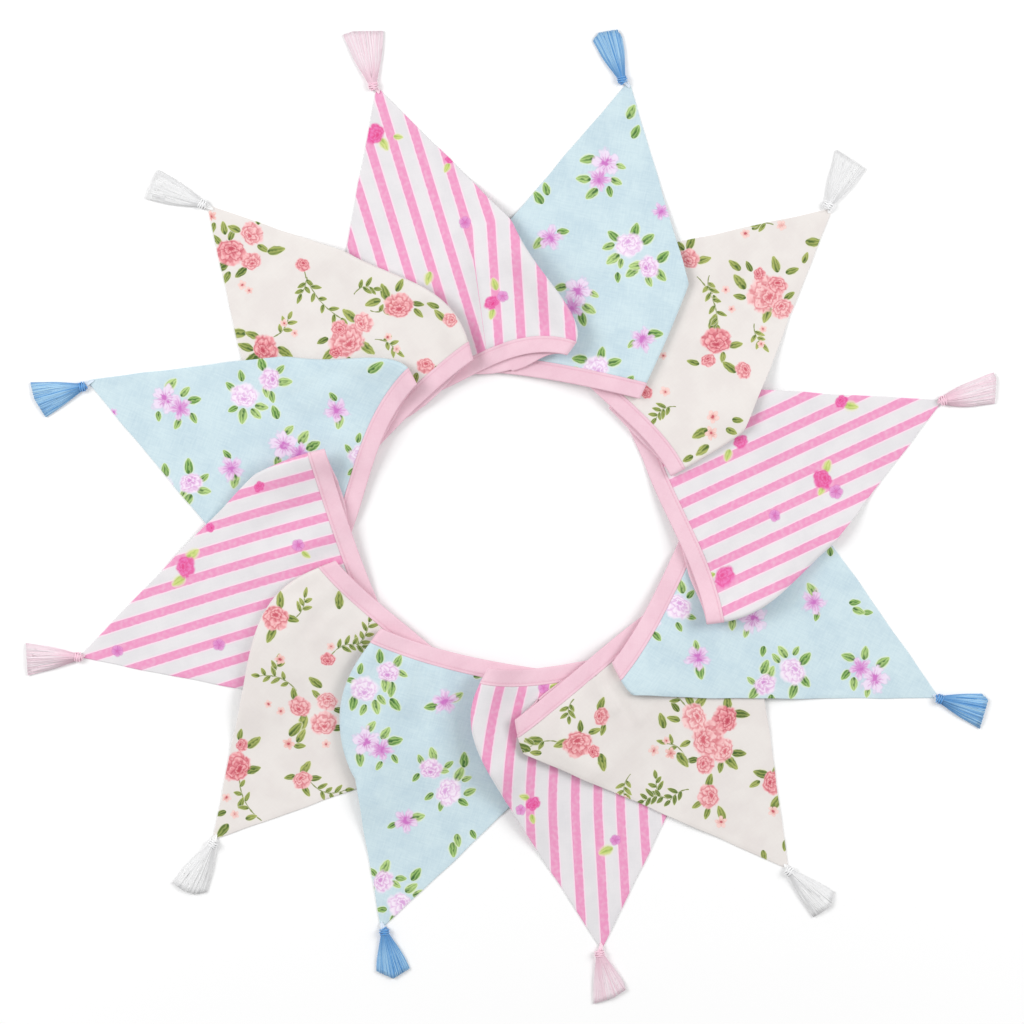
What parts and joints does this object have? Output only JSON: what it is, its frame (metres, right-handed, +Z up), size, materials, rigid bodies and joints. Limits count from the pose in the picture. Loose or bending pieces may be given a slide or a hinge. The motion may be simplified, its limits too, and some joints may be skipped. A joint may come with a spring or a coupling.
{
  "type": "fabric bunting",
  "caption": "Cotton bunting of triangular pennants on a pink bias tape, each with a tassel at its tip, laid on a table as a ring of overlapping pennants",
  "frame": {"origin": "centre of the ring's bounding box, on the surface that it lies on", "axes": "+Z up from the surface, +Y towards the top of the ring as it lies, +X to the right"},
  "size_m": [0.678, 0.681, 0.0177],
  "materials": {
    "stripe": "printed plain-weave cotton, pink and white stripe with small rosebuds",
    "blue": "printed plain-weave cotton, pale blue with lilac and pink flowers",
    "cream": "printed plain-weave cotton, cream with coral rose clusters and leaves",
    "tape": "plain cotton bias tape, matt, stitched near its edge",
    "thread_pink": "soft sheen of twisted thread",
    "thread_blue": "soft sheen of twisted thread",
    "thread_white": "soft sheen of twisted thread"
  },
  "bodies": {
    "root": {"pennant_01": "stripe", "pennant_02": "blue", "pennant_03": "cream", "pennant_04": "stripe", "pennant_05": "blue", "pennant_06": "cream", "pennant_07": "stripe", "pennant_08": "blue", "pennant_09": "cream", "pennant_10": "stripe", "pennant_11": "blue", "pennant_12": "cream", "binding_tape": "tape", "tassel_01": "thread_pink", "tassel_02": "thread_blue", "tassel_03": "thread_white", "tassel_04": "thread_pink", "tassel_05": "thread_blue", "tassel_06": "thread_white", "tassel_07": "thread_pink", "tassel_08": "thread_blue", "tassel_09": "thread_white", "tassel_10": "thread_pink", "tassel_11": "thread_blue", "tassel_12": "thread_white"}
  },
  "joints": []
}
